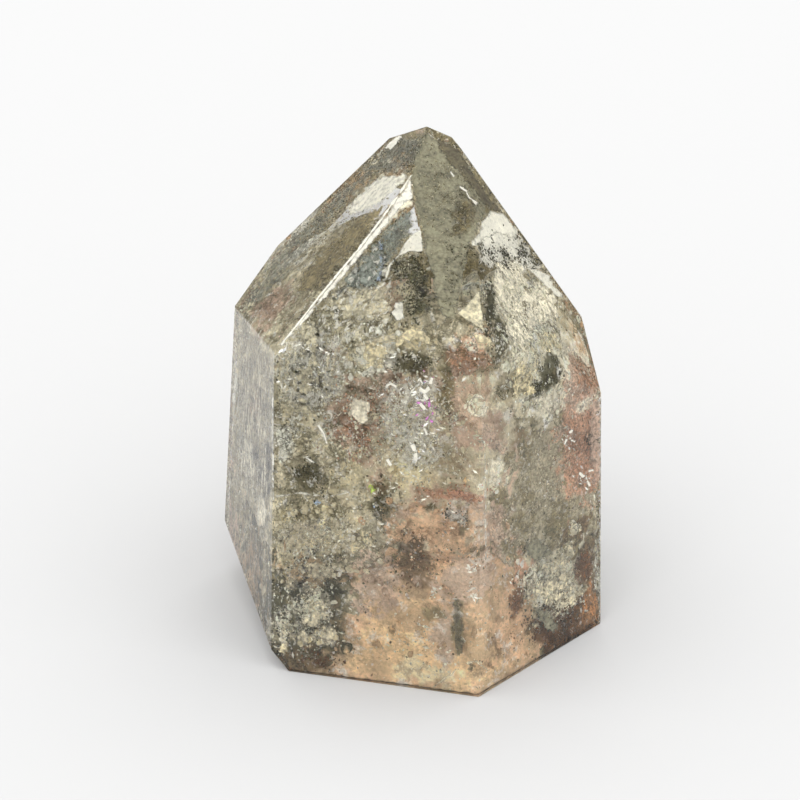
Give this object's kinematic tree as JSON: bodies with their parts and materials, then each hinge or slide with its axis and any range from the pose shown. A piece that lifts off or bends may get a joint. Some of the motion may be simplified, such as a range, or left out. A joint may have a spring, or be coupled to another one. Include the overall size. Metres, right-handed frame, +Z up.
{
  "type": "garden quartz point",
  "caption": "Polished six-sided clear quartz point, cut flat at the foot, with a garden of cream, pink, clay and moss-green mineral growths inside.",
  "frame": {"origin": "middle of the box's foot, on the surface that the crystal stands on", "axes": "+Z up, front prism face towards -Y, +X to its right; the crystal's long axis leans back by 10 degrees"},
  "size_m": [0.049, 0.0506, 0.0619],
  "materials": {
    "quartz": "polished clear crystal, faintly smoky",
    "feldspar": "matt cream crumbs",
    "hematite": "matt salmon dust",
    "moss": "matt dark green moss",
    "clay": "matt peach clay",
    "chlorite": "matt grey-green sand"
  },
  "bodies": {
    "root": {"quartz_point": "quartz", "feldspar_cloud_low_left": "feldspar", "feldspar_cloud_low_right": "feldspar", "feldspar_flakes_top": "feldspar", "hematite_patch_right": "hematite", "feldspar_cloud_high_right": "feldspar", "hematite_cloud_left": "hematite", "moss_tuft_left": "moss", "moss_tuft_right": "moss", "clay_bed": "clay", "clay_cloud_left": "clay", "chlorite_sand_right": "chlorite", "clay_cloud_middle": "clay", "chlorite_cloud_left": "chlorite", "chlorite_hill_back": "chlorite"}
  },
  "joints": []
}
